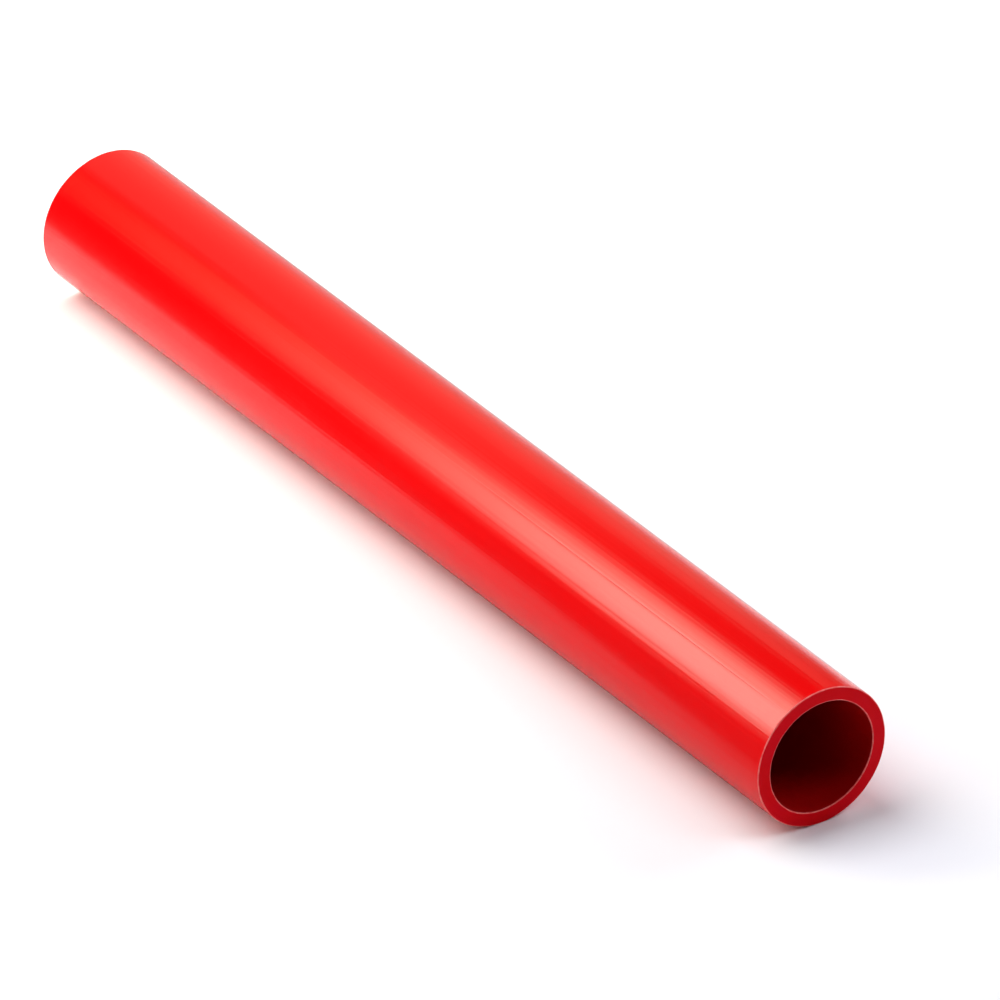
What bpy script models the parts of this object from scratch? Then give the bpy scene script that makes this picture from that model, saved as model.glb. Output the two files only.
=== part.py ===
"""A plain length of thick-walled rigid plastic tube, lying on its side.

The tube is one extruded wall. It is cut square at both ends, and a small
round takes the sharpness off each of its four rims. It lies along X with the
middle of its length at X = 0 and its lowest line on Z = 0.
"""

from math import cos, pi, radians, sin

import bmesh
import bpy
from mathutils import Matrix, Vector

# Driving dimensions, in metres
TUBE_LENGTH = 0.300
OUTER_DIAMETER = 0.036
WALL_THICKNESS = 0.0036
RIM_ROUND = 0.0004

# How finely the round shapes are faceted
SIDES = 96
RIM_STEPS = 3
SHARP_ANGLE = radians(40)

# Opaque red plastic with a satin skin
RED = (0.78, 0.006, 0.012, 1.0)
ROUGHNESS = 0.32

# Worked out from the driving dimensions
HALF_LENGTH = TUBE_LENGTH / 2
OUTER_RADIUS = OUTER_DIAMETER / 2
INNER_RADIUS = OUTER_RADIUS - WALL_THICKNESS
FACET_ANGLE = 2 * pi / SIDES
AXIS = Vector((1, 0, 0))
AXIS_CENTRE = Vector((0, 0, OUTER_RADIUS))


def remove_everything():
    """Empty the scene of the objects that a new file starts with."""
    for thing in list(bpy.data.objects):
        bpy.data.objects.remove(thing, do_unlink=True)


def plastic(name, colour, roughness):
    """A plain opaque plastic."""
    material = bpy.data.materials.new(name)
    material.use_nodes = True
    material.diffuse_color = colour
    shader = material.node_tree.nodes["Principled BSDF"]
    shader.inputs["Base Color"].default_value = colour
    shader.inputs["Roughness"].default_value = roughness
    shader.inputs["Metallic"].default_value = 0.0
    return material


def rim_arc(x_sign, radius, outward):
    """Points (x, distance from the axis) that round one rim, from its end face to its wall.

    radius is the wall's own, and outward is 1 on the outer wall and -1 on the bore.
    """
    points = []
    for step in range(RIM_STEPS + 1):
        turn = pi / 2 * step / RIM_STEPS
        x = x_sign * (HALF_LENGTH - RIM_ROUND * (1 - cos(turn)))
        points.append((x, radius - outward * RIM_ROUND * (1 - sin(turn))))
    return points


def wall_section():
    """The closed outline of the wall, cut along the tube's axis."""
    outer_far = rim_arc(-1, OUTER_RADIUS, 1)
    outer_near = rim_arc(1, OUTER_RADIUS, 1)
    inner_near = rim_arc(1, INNER_RADIUS, -1)
    inner_far = rim_arc(-1, INNER_RADIUS, -1)
    return outer_far + outer_near[::-1] + inner_near + inner_far[::-1]


def turned_mesh(name, section):
    """Spin a closed section about the tube's axis.

    The facets touch the true circles at their middles, and one of them is flat on the
    ground, so the tube is exactly as high and as wide as its diameter.
    """
    reach = 1 / cos(FACET_ANGLE / 2)
    first_turn = Matrix.Rotation(FACET_ANGLE / 2, 3, AXIS)
    shape = bmesh.new()
    corners = []
    for x, radius in section:
        spoke = first_turn @ Vector((x, 0, -radius * reach))
        corners.append(shape.verts.new(AXIS_CENTRE + spoke))
    edges = [
        shape.edges.new((corner, corners[(index + 1) % len(corners)]))
        for index, corner in enumerate(corners)
    ]
    bmesh.ops.spin(
        shape,
        geom=corners + edges,
        cent=AXIS_CENTRE,
        axis=AXIS,
        angle=2 * pi,
        steps=SIDES,
        use_merge=True,
    )
    bmesh.ops.recalc_face_normals(shape, faces=shape.faces)
    mesh = bpy.data.meshes.new(name)
    shape.to_mesh(mesh)
    shape.free()
    mesh.shade_smooth()
    mesh.set_sharp_from_angle(angle=SHARP_ANGLE)
    return mesh


def make_tube():
    """The whole object: it has no other piece."""
    mesh = turned_mesh("tube", wall_section())
    mesh.materials.append(plastic("tube_red", RED, ROUGHNESS))
    tube = bpy.data.objects.new("tube", mesh)
    bpy.context.scene.collection.objects.link(tube)
    return tube


remove_everything()
make_tube()
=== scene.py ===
"""The looks of a plain cut length of red plastic tube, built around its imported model.

The tube is one piece. A fine mesh stands for the faceted CAD tube. It has the same length,
outside and bore, with what the extruder and the saw leave on the real one: shallow die lines
along the skin, a slight waviness, and rims that vary a little in their rounding.
Everything is in metres, and +X runs along the tube to the end that faces the camera.
"""

from math import cos, exp, hypot, pi, radians, sin, tau

import bpy
from mathutils import Matrix, Vector, noise


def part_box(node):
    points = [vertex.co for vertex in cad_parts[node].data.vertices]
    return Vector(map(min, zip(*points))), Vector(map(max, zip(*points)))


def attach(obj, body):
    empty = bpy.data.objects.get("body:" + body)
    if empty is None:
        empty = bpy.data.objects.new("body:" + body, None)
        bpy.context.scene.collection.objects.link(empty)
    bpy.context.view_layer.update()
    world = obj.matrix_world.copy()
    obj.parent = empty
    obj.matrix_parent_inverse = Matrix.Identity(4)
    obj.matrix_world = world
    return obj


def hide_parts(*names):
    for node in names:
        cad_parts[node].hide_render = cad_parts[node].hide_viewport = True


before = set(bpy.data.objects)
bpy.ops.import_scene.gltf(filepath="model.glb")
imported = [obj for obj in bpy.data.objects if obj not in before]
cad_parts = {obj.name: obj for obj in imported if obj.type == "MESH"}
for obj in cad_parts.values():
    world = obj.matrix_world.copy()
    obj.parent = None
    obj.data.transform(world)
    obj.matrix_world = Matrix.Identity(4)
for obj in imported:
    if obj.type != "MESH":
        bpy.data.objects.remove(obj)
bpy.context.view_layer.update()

# ---------------------------------------------------------------- sizes from the frame

NODE = "tube"
TUBE_LOW, TUBE_HIGH = [Vector(corner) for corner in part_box(NODE)]
MIDDLE = (TUBE_LOW + TUBE_HIGH) / 2
HALF_LENGTH = (TUBE_HIGH.x - TUBE_LOW.x) / 2
OUTER_RADIUS = (TUBE_HIGH.z - TUBE_LOW.z) / 2
CAD_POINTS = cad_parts[NODE].data.vertices
INNER_RADIUS = min(hypot(p.co.y - MIDDLE.y, p.co.z - MIDDLE.z) for p in CAD_POINTS)

# ---------------------------------------------------------------- the mesh's fineness

STEPS_AROUND = 320
SKIN_STATIONS = 110
BORE_STATIONS = 60
RIM_STEPS = 7
FACE_STEPS = 5
DIE_LINE_STEPS = 4
CLOSEST_TURN = tau / STEPS_AROUND / 8
SUPPORT_GAP = 0.0002
SHARP_ANGLE = radians(50)

# The surface's zones, which are also the order of its materials
SKIN, CUT, RIM, BORE = range(4)

# ---------------------------------------------------------------- what making it leaves

# The rims' rounding, the skin's waviness and the cut faces' unevenness. RIM_WANDER and
# CUT_WANDER say how fast these change around the tube, and CUT_RINGS how fast across the wall
RIM_ROUND = 0.00026
RIM_UNEVEN = 0.00008
RIM_MOST = RIM_ROUND + RIM_UNEVEN
RIM_WANDER = 7
WAVINESS = 0.00003
WAVE_LENGTH = 0.030
CUT_UNEVEN = 0.00004
CUT_WANDER = 4
CUT_RINGS = 900

# How many widths to each side a die line reaches, how sharply it fades at its ends, and
# how its depth flickers: the middle, the swing, and the turns per metre
LINE_REACH = 3
LINE_FADE = 6
FLICKER_MIDDLE = 0.75
FLICKER_SWING = 0.5
FLICKER_TURNS = 180

# Die lines: (degrees from the top towards -Y, start and end as shares of the length from
# the near end, depth, width)
DIE_LINES = [
    (33.0, 0.00, 0.46, 0.000070, 0.00016),
    (46.0, 0.38, 0.88, 0.000012, 0.00020),
    (50.0, 0.42, 0.85, 0.000011, 0.00018),
    (101.0, 0.10, 0.60, 0.000010, 0.00025),
    (-14.0, 0.30, 0.95, 0.000010, 0.00022),
    (160.0, 0.00, 0.70, 0.000015, 0.00020),
    (-118.0, 0.20, 1.00, 0.000015, 0.00022),
]

# ---------------------------------------------------------------- colours and finish

RED = (0.78, 0.0005, 0.0016, 1.0)
DEEP_RED = (0.73, 0.0004, 0.0012, 1.0)
CUT_RED = (0.74, 0.0010, 0.0100, 1.0)
# The rims' paler reds are partly wear and partly a painted highlight along their rounding.
RIM_RED = (0.90, 0.0600, 0.0600, 1.0)
RUBBED_AND_HIGHLIGHT_RED = (0.98, 0.2200, 0.2000, 1.0)
# The bore's reds are painted shade: the bore is the skin's plastic, made darker for the shade
# inside the tube.
BORE_PAINTED_SHADE_RED = (0.46, 0.0003, 0.0008, 1.0)
DEEP_BORE_PAINTED_SHADE_RED = (0.40, 0.0002, 0.0006, 1.0)
TUBE_IOR = 1.45
CUT_GLOSS = 0.04

# Each zone's roughness, from its glossiest to its dullest. SKIN_CLOUDING is added to the skin's
SKIN_ROUGHNESS = (0.165, 0.200)
SKIN_CLOUDING = (-0.01, 0.015)
CUT_ROUGHNESS = (0.42, 0.58)
RIM_ROUGHNESS = (0.28, 0.40)
BORE_ROUGHNESS = (0.30, 0.38)


def wall_section(rounds):
    """The wall's closed outline as (x, radius, zone), from the far end along the outside.

    rounds gives each rim's rounding, by end (-1 far, 1 near) and wall (1 outside, -1 bore).
    The zone belongs to the stretch that starts at the point.
    """
    def rim(end, outward):
        """One rounded rim, from the wall to the end face."""
        size = rounds[end, outward]
        radius = OUTER_RADIUS if outward == 1 else INNER_RADIUS
        points = []
        for step in range(RIM_STEPS + 1):
            turn = pi / 2 * step / RIM_STEPS
            x = end * (HALF_LENGTH - size * (1 - sin(turn)))
            points.append((x, radius - outward * size * (1 - cos(turn)), RIM))
        return points

    def face(end):
        """The flat of one cut face, from its outside to its inside."""
        top = OUTER_RADIUS - RIM_MOST - SUPPORT_GAP
        bottom = INNER_RADIUS + RIM_MOST + SUPPORT_GAP
        return [
            (end * HALF_LENGTH, top + (bottom - top) * step / FACE_STEPS, CUT)
            for step in range(FACE_STEPS + 1)
        ]

    def wall(radius, stations, zone):
        """The straight of one wall, from the far end to the near end."""
        reach = HALF_LENGTH - RIM_MOST - SUPPORT_GAP
        return [
            (-reach + 2 * reach * step / stations, radius, zone)
            for step in range(stations + 1)
        ]

    def zoned(points, zone):
        """The same points, with the last one's stretch given to the next zone."""
        return points[:-1] + [(points[-1][0], points[-1][1], zone)]

    outside = wall(OUTER_RADIUS, SKIN_STATIONS, SKIN)
    bore = wall(INNER_RADIUS, BORE_STATIONS, BORE)
    near = zoned(rim(1, 1), CUT) + face(1) + zoned(rim(1, -1)[::-1], BORE)
    far = zoned(rim(-1, -1), CUT) + face(-1)[::-1] + zoned(rim(-1, 1)[::-1], SKIN)
    return outside + near + bore[::-1] + far


def rim_rounds(around):
    """How round each of the four rims is, at one place around the tube.

    Each rim reads its own part of the noise, so that no two are alike.
    """
    rounds = {}
    for end in (-1, 1):
        for outward in (-1, 1):
            own_part = Vector((end * 3.1, outward * 5.7, 5))
            wander = noise.noise(around * RIM_WANDER + own_part)
            rounds[end, outward] = RIM_ROUND + RIM_UNEVEN * wander
    return rounds


def die_line_depth(x, angle):
    """How deep the die lines lie at a place on the skin."""
    depth = 0.0
    share = (HALF_LENGTH - x) / (2 * HALF_LENGTH)
    for degrees, start, end, deepest, width in DIE_LINES:
        across = (angle - radians(degrees) + pi) % tau - pi
        offset = across * OUTER_RADIUS / width
        if abs(offset) > LINE_REACH:
            continue
        middle = (start + end) / 2
        reach = (end - start) / 2
        along = max(0.0, 1 - (abs(share - middle) / reach) ** LINE_FADE)
        wander = noise.noise(Vector((x * FLICKER_TURNS, degrees, 0)))
        flicker = FLICKER_MIDDLE + FLICKER_SWING * wander
        depth += deepest * along * flicker * exp(-offset * offset)
    return depth


def waviness(x, around):
    """The slow unevenness that cooling leaves, from 0 to WAVINESS."""
    place = (Vector((x, 0, 0)) + around * OUTER_RADIUS) / WAVE_LENGTH
    return WAVINESS * (0.5 + 0.5 * noise.noise(place))


def worked_point(x, radius, zone, angle, around):
    """A point of the section turned to its place, with the marks of making put in.

    Every mark goes into the material, so that the piece stays inside the CAD box.
    """
    if radius > (OUTER_RADIUS + INNER_RADIUS) / 2 and zone != CUT:
        depth = die_line_depth(x, angle) + waviness(x, around)
        return MIDDLE + Vector((x, 0, 0)) + around * (radius - depth)
    if zone == CUT:
        end = 1 if x > 0 else -1
        own_part = Vector((end * 7.3, radius * CUT_RINGS, 0))
        chatter = noise.noise(around * CUT_WANDER + own_part)
        x -= end * CUT_UNEVEN * (0.5 + 0.5 * chatter)
    return MIDDLE + Vector((x, 0, 0)) + around * radius


def turns_around():
    """The angles of the mesh's lines, from the top towards -Y, closer together at die lines."""
    angles = [tau * step / STEPS_AROUND for step in range(STEPS_AROUND)]
    for degrees, _, _, _, width in DIE_LINES:
        for step in range(-DIE_LINE_STEPS, DIE_LINE_STEPS + 1):
            angles.append((radians(degrees) + step * width / 2 / OUTER_RADIUS) % tau)
    angles.sort()
    return [
        angle for angle, after in zip(angles, angles[1:] + [tau])
        if after - angle > CLOSEST_TURN
    ]


def turned_tube():
    """The tube's fine mesh, one closed body."""
    points, rows = [], []
    for angle in turns_around():
        around = Vector((0, -sin(angle), cos(angle)))
        section = wall_section(rim_rounds(around))
        rows.append(len(points))
        points += [worked_point(x, radius, zone, angle, around) for x, radius, zone in section]
    faces, zones = [], []
    count = len(section)
    for here, there in zip(rows, rows[1:] + rows[:1]):
        for index in range(count):
            after = (index + 1) % count
            faces.append((here + index, there + index, there + after, here + after))
            zones.append(section[index][2])
    mesh = bpy.data.meshes.new("tube_skin")
    mesh.from_pydata(points, [], faces)
    for maker in (skin_plastic, cut_plastic, rim_plastic, bore_plastic):
        mesh.materials.append(maker())
    mesh.polygons.foreach_set("material_index", zones)
    mesh.shade_smooth()
    mesh.set_sharp_from_angle(angle=SHARP_ANGLE)
    mesh.update()
    return mesh


# ---------------------------------------------------------------- materials

class Nodes:
    """Short ways to build one material's nodes."""

    def __init__(self, name):
        self.material = bpy.data.materials.new(name)
        self.material.use_nodes = True
        self.tree = self.material.node_tree
        self.shader = self.tree.nodes["Principled BSDF"]
        self.place = self.tree.nodes.new("ShaderNodeTexCoord").outputs["Object"]

    def add(self, kind, **settings):
        """A new node, with its settings put in."""
        node = self.tree.nodes.new(kind)
        for name, value in settings.items():
            setattr(node, name, value)
        return node

    def link(self, source, target):
        """A wire from an output to an input."""
        self.tree.links.new(source, target)

    def noise(self, scale, detail=3.0, roughness=0.55):
        """Noise from 0 to 1, with a scale of its own along X, Y and Z, in turns per metre."""
        mapping = self.add("ShaderNodeMapping")
        mapping.inputs["Scale"].default_value = scale
        self.link(self.place, mapping.inputs["Vector"])
        texture = self.add("ShaderNodeTexNoise")
        texture.inputs["Scale"].default_value = 1.0
        texture.inputs["Detail"].default_value = detail
        texture.inputs["Roughness"].default_value = roughness
        self.link(mapping.outputs["Vector"], texture.inputs["Vector"])
        return texture.outputs["Fac"]

    def ranged(self, value, low, high, start=0.3, end=0.7, smooth=False):
        """A value spread from low to high as it goes from start to end."""
        node = self.add("ShaderNodeMapRange")
        if smooth:
            node.interpolation_type = "SMOOTHSTEP"
        self.link(value, node.inputs["Value"])
        for name, number in zip(
            ("From Min", "From Max", "To Min", "To Max"), (start, end, low, high)
        ):
            node.inputs[name].default_value = number
        return node.outputs["Result"]

    def combined(self, first, second, operation="ADD"):
        """Two values put together by a sum, or by another operation."""
        node = self.add("ShaderNodeMath", operation=operation)
        self.link(first, node.inputs[0])
        self.link(second, node.inputs[1])
        return node.outputs["Value"]

    def mixed(self, share, first, second):
        """A colour between two, by share."""
        node = self.add("ShaderNodeMix", data_type="RGBA")
        self.link(share, node.inputs["Factor"])
        node.inputs["A"].default_value = first
        node.inputs["B"].default_value = second
        return node.outputs["Result"]

    def bump(self, heights):
        """Bumps in turn, each a height from 0 to 1 and its size in metres."""
        normal = None
        for height, size in heights:
            node = self.add("ShaderNodeBump")
            node.inputs["Distance"].default_value = size
            self.link(height, node.inputs["Height"])
            if normal is not None:
                self.link(normal, node.inputs["Normal"])
            normal = node.outputs["Normal"]
        self.link(normal, self.shader.inputs["Normal"])

    def finish(self, colour, roughness):
        """The tube's plastic, in this colour and roughness."""
        self.link(colour, self.shader.inputs["Base Color"])
        self.link(roughness, self.shader.inputs["Roughness"])
        self.shader.inputs["IOR"].default_value = TUBE_IOR
        return self.material


def skin_plastic():
    """The extruded skin: satin, with fine lines along it."""
    nodes = Nodes("red_skin")
    streaks = nodes.noise((5, 1500, 1500), detail=2)
    broad_streaks = nodes.noise((3, 260, 260), detail=2)
    ripple = nodes.noise((420, 420, 420), detail=2)
    clouds = nodes.noise((30, 90, 90), detail=4)
    colour = nodes.mixed(nodes.ranged(clouds, 0.0, 0.5), RED, DEEP_RED)
    roughness = nodes.combined(
        nodes.ranged(broad_streaks, *SKIN_ROUGHNESS),
        nodes.ranged(clouds, *SKIN_CLOUDING),
    )
    nodes.bump([(streaks, 0.000060), (broad_streaks, 0.000040), (ripple, 0.000002)])
    return nodes.finish(colour, roughness)


def cut_plastic():
    """The sawn face: duller, with the blade's fine marks across it."""
    nodes = Nodes("red_cut_face")
    marks = nodes.noise((900, 3600, 260), detail=3)
    grain = nodes.noise((2600, 2600, 2600), detail=2)
    clouds = nodes.noise((150, 150, 150), detail=3)
    colour = nodes.mixed(nodes.ranged(clouds, 0.0, 0.6), CUT_RED, DEEP_RED)
    roughness = nodes.ranged(marks, *CUT_ROUGHNESS)
    nodes.bump([(marks, 0.000008), (grain, 0.000004)])
    nodes.shader.inputs["Specular IOR Level"].default_value = CUT_GLOSS
    return nodes.finish(colour, roughness)


def rim_plastic():
    """The rims: a little paler than the rest, partly from wear and partly as a painted
    highlight along their rounding.
    """
    nodes = Nodes("red_rim")
    wear_and_highlight = nodes.noise((800, 800, 800), detail=3)
    colour = nodes.mixed(nodes.ranged(wear_and_highlight, 0.0, 1.0), RIM_RED, RUBBED_AND_HIGHLIGHT_RED)
    roughness = nodes.ranged(wear_and_highlight, *RIM_ROUGHNESS)
    nodes.bump([(wear_and_highlight, 0.000004)])
    return nodes.finish(colour, roughness)


def bore_plastic():
    """The bore: duller than the skin, and a darker red that is painted shade inside the tube.
    """
    nodes = Nodes("red_bore")
    streaks = nodes.noise((6, 700, 700), detail=2)
    clouds = nodes.noise((40, 120, 120), detail=3)
    colour = nodes.mixed(nodes.ranged(clouds, 0.0, 0.6), BORE_PAINTED_SHADE_RED, DEEP_BORE_PAINTED_SHADE_RED)
    roughness = nodes.ranged(streaks, *BORE_ROUGHNESS)
    nodes.bump([(streaks, 0.000003)])
    return nodes.finish(colour, roughness)


def make_tube():
    """The fine tube, in the place of the CAD one."""
    tube = bpy.data.objects.new("tube_fine", turned_tube())
    bpy.context.scene.collection.objects.link(tube)
    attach(tube, "root")
    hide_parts(NODE)


# ---------------------------------------------------------------- floor, light and camera

FLOOR_HALF = 40.0
FLOOR_WHITE = (0.930, 0.945, 0.960, 1.0)

# In gloss the floor in front of the tube, on the -Y side, shows as a pool of light, full as
# far out as Y = POOL_FULL and gone at Y = POOL_END. Towards the far end, as X goes from the
# second of POOL_SPREADS to the first, the pool's edge moves POOL_SPREAD further out
POOL_FULL = -0.025
POOL_END = -0.068
POOL_SPREAD = 0.035
POOL_SPREADS = (0.0, 0.12)

# How bright the floor is in gloss, in front of the tube and behind it: the brightness on
# the far end's side and on the near end's side, and where along X it goes from one to the other
FRONT_GLOSS = (0.85, 0.42)
FRONT_GOES = (-0.18, 0.02)
BEHIND_GLOSS = (0.45, 1.0)
BEHIND_GOES = (-0.15, 0.12)

# How far from the tube's middle the floor starts to run into the white beyond it, and ends
# doing so
GLOW_START = 0.35
GLOW_FULL = 0.80


def floor_in_gloss(nodes):
    """How bright the floor is to rays that mirror it."""
    split = nodes.add("ShaderNodeSeparateXYZ")
    nodes.link(nodes.place, split.inputs["Vector"])
    along, across = split.outputs["X"], split.outputs["Y"]
    spread = nodes.ranged(along, POOL_SPREAD, 0.0, *POOL_SPREADS)
    shifted = nodes.combined(across, spread)
    pool = nodes.ranged(shifted, 0.0, 1.0, POOL_END, POOL_FULL, smooth=True)
    front = nodes.combined(pool, nodes.ranged(along, *FRONT_GLOSS, *FRONT_GOES), "MULTIPLY")
    behind = nodes.ranged(along, *BEHIND_GLOSS, *BEHIND_GOES)
    gloss = nodes.add("ShaderNodeMix")
    nodes.link(nodes.ranged(across, 0.0, 1.0, 0.0, OUTER_RADIUS), gloss.inputs["Factor"])
    nodes.link(front, gloss.inputs["A"])
    nodes.link(behind, gloss.inputs["B"])
    return gloss.outputs["Result"]


def floor_paint():
    """Matt white. It is shaded for rays that mirror it, and glows far off for the camera."""
    nodes = Nodes("floor_white")
    gloss = floor_in_gloss(nodes)
    path = nodes.add("ShaderNodeLightPath")
    shade = nodes.add("ShaderNodeMix", data_type="RGBA")
    nodes.link(path.outputs["Is Glossy Ray"], shade.inputs["Factor"])
    shade.inputs["A"].default_value = FLOOR_WHITE
    nodes.link(gloss, shade.inputs["B"])
    nodes.link(shade.outputs["Result"], nodes.shader.inputs["Base Color"])
    distance = nodes.add("ShaderNodeVectorMath", operation="LENGTH")
    nodes.link(nodes.place, distance.inputs[0])
    glow = nodes.ranged(distance.outputs["Value"], 0.0, 1.0, GLOW_START, GLOW_FULL, smooth=True)
    seen = nodes.combined(glow, path.outputs["Is Camera Ray"], "MULTIPLY")
    nodes.shader.inputs["Emission Color"].default_value = (1.0, 1.0, 1.0, 1.0)
    nodes.link(seen, nodes.shader.inputs["Emission Strength"])
    nodes.shader.inputs["Roughness"].default_value = 1.0
    nodes.shader.inputs["Specular IOR Level"].default_value = 0.0
    return nodes.material


def make_floor():
    """A plain white floor, level with the lowest point of the CAD tube."""
    mesh = bpy.data.meshes.new("floor")
    reach = FLOOR_HALF
    corners = [(-reach, -reach, 0), (reach, -reach, 0), (reach, reach, 0), (-reach, reach, 0)]
    mesh.from_pydata(corners, [], [(0, 1, 2, 3)])
    mesh.materials.append(floor_paint())
    floor = bpy.data.objects.new("floor", mesh)
    floor.location.z = TUBE_LOW.z
    bpy.context.scene.collection.objects.link(floor)


def make_world():
    """White behind everything for the camera, and dark for all other rays."""
    world = bpy.data.worlds.new("studio")
    world.use_nodes = True
    tree = world.node_tree
    background = tree.nodes["Background"]
    path = tree.nodes.new("ShaderNodeLightPath")
    tree.links.new(path.outputs["Is Camera Ray"], background.inputs["Color"])
    bpy.context.scene.world = world


# Colours of light
NEUTRAL = (1.0, 1.0, 1.0)
WARM = (1.0, 0.98, 0.75)
AMBER = (1.0, 0.95, 0.40)
COOL = (1.0, 0.985, 1.05)


def softbox(name, centre, target, length, width, radiance, colour):
    """A rectangular soft light that the camera doesn't see.

    Its length runs as near to X as its facing allows.
    """
    light = bpy.data.lights.new(name, "AREA")
    light.color = colour
    light.shape = "RECTANGLE"
    light.size = length
    light.size_y = width
    light.energy = radiance * pi * length * width
    lamp = bpy.data.objects.new(name, light)
    back = (Vector(centre) - Vector(target)).normalized()
    level = Vector((1, 0, 0)) - back * back.x
    level.normalize()
    third = back.cross(level)
    turn = Matrix((level, third, back)).transposed().to_4x4()
    lamp.matrix_world = Matrix.Translation(centre) @ turn
    lamp.visible_camera = False
    bpy.context.scene.collection.objects.link(lamp)


def beside(degrees, distance, x):
    """A place at a distance from the tube's axis, at an angle from straight up towards -Y."""
    turn = radians(degrees)
    return MIDDLE + Vector((x, -sin(turn) * distance, cos(turn) * distance))


# The key light beyond the tube's far end: how far it is from the tube's axis, and where its
# edge towards the near end is
KEY_DISTANCE = 0.47
KEY_EDGE = -0.215
KEY_LAYERS = 4
KEY_RADIANCE = 1.8

# The key's first layer, and how much the last one differs from it
KEY_DEGREES = 38.5
KEY_DEGREES_MORE = -7.5
KEY_LENGTH = 0.16
KEY_LENGTH_MORE = 0.10
KEY_WIDTH = 0.25
KEY_WIDTH_MORE = 0.45

# The key's dim tail
TAIL_DEGREES = 30.0
TAIL_LENGTH = 0.40
TAIL_WIDTH = 0.35
TAIL_RADIANCE = KEY_RADIANCE / 3

# Two dim boxes further off: (name, degrees from straight up towards -Y, place along X)
BACK_BOXES = [
    ("back_low", -75, -0.98),
    ("back_high", -24, -1.08),
]
BACK_DISTANCE = 0.69
BACK_LENGTH = 0.9
BACK_WIDTH = 0.66
BACK_RADIANCE = 0.5

# Boxes for fill: (name, place, length, width, radiance)
FILL_BOXES = [
    ("top", (-0.4, -0.4, 1.45), 0.8, 1.4, 4.5),
    ("left", (-0.3, -1.1, 0.5), 0.8, 1.0, 1.6),
    ("right", (0.0, 1.0, 0.6), 0.8, 0.6, 3.5),
    ("front", (0.8, 0.6, 1.3), 0.7, 0.7, 4.0),
]


def key_layer(name, degrees, length, width, radiance, colour):
    """One layer of the key. All layers end at the same edge towards the near end."""
    x = KEY_EDGE - length / 2
    centre = beside(degrees, KEY_DISTANCE, x)
    softbox(name, centre, MIDDLE + Vector((x, 0, 0)), length, width, radiance, colour)


def make_key():
    """Layers that grow and warm in even steps, for a bright middle and soft edges."""
    for step in range(KEY_LAYERS):
        share = step / (KEY_LAYERS - 1)
        degrees = KEY_DEGREES + KEY_DEGREES_MORE * share
        length = KEY_LENGTH + KEY_LENGTH_MORE * share
        width = KEY_WIDTH + KEY_WIDTH_MORE * share
        colour = Vector(NEUTRAL).lerp(Vector(WARM), share)
        key_layer(f"key_{step}", degrees, length, width, KEY_RADIANCE, colour)
    key_layer("key_tail", TAIL_DEGREES, TAIL_LENGTH, TAIL_WIDTH, TAIL_RADIANCE, AMBER)


def make_lights():
    """The key, the two dim boxes further off, and the four for fill."""
    make_key()
    for name, degrees, x in BACK_BOXES:
        centre = beside(degrees, BACK_DISTANCE, x)
        target = MIDDLE + Vector((x, 0, 0))
        softbox(name, centre, target, BACK_LENGTH, BACK_WIDTH, BACK_RADIANCE, WARM)
    for name, centre, length, width, radiance in FILL_BOXES:
        softbox(name, centre, MIDDLE, length, width, radiance, COOL)


# The camera's turn from the tube's -Y side towards its near end, its height angle, its
# distance, and how far its aim lies right of the tube's middle and below it, as it sees them
VIEW_AZIMUTH = radians(55.6)
VIEW_ELEVATION = radians(31.0)
VIEW_DISTANCE = 4.72
AIM_RIGHT = 0.0105
AIM_DOWN = 0.0045
LENS_MM = 720.0
SENSOR_MM = 36.0
FARTHEST_SEEN = 200.0


def make_camera():
    """A long lens, looking down along the tube from the near end's side."""
    right = Vector((cos(VIEW_AZIMUTH), sin(VIEW_AZIMUTH), 0))
    towards = Vector((sin(VIEW_AZIMUTH), -cos(VIEW_AZIMUTH), 0))
    back = towards * cos(VIEW_ELEVATION) + Vector((0, 0, sin(VIEW_ELEVATION)))
    up = back.cross(right)
    aim = MIDDLE + right * AIM_RIGHT - up * AIM_DOWN
    camera = bpy.data.cameras.new("camera")
    camera.lens = LENS_MM
    camera.sensor_width = SENSOR_MM
    camera.clip_end = FARTHEST_SEEN
    seen = bpy.data.objects.new("camera", camera)
    turn = Matrix((right, up, back)).transposed().to_4x4()
    seen.matrix_world = Matrix.Translation(aim + back * VIEW_DISTANCE) @ turn
    bpy.context.scene.collection.objects.link(seen)
    bpy.context.scene.camera = seen


make_camera()
make_tube()
make_floor()
make_world()
make_lights()
bpy.context.scene.view_settings.view_transform = "Standard"
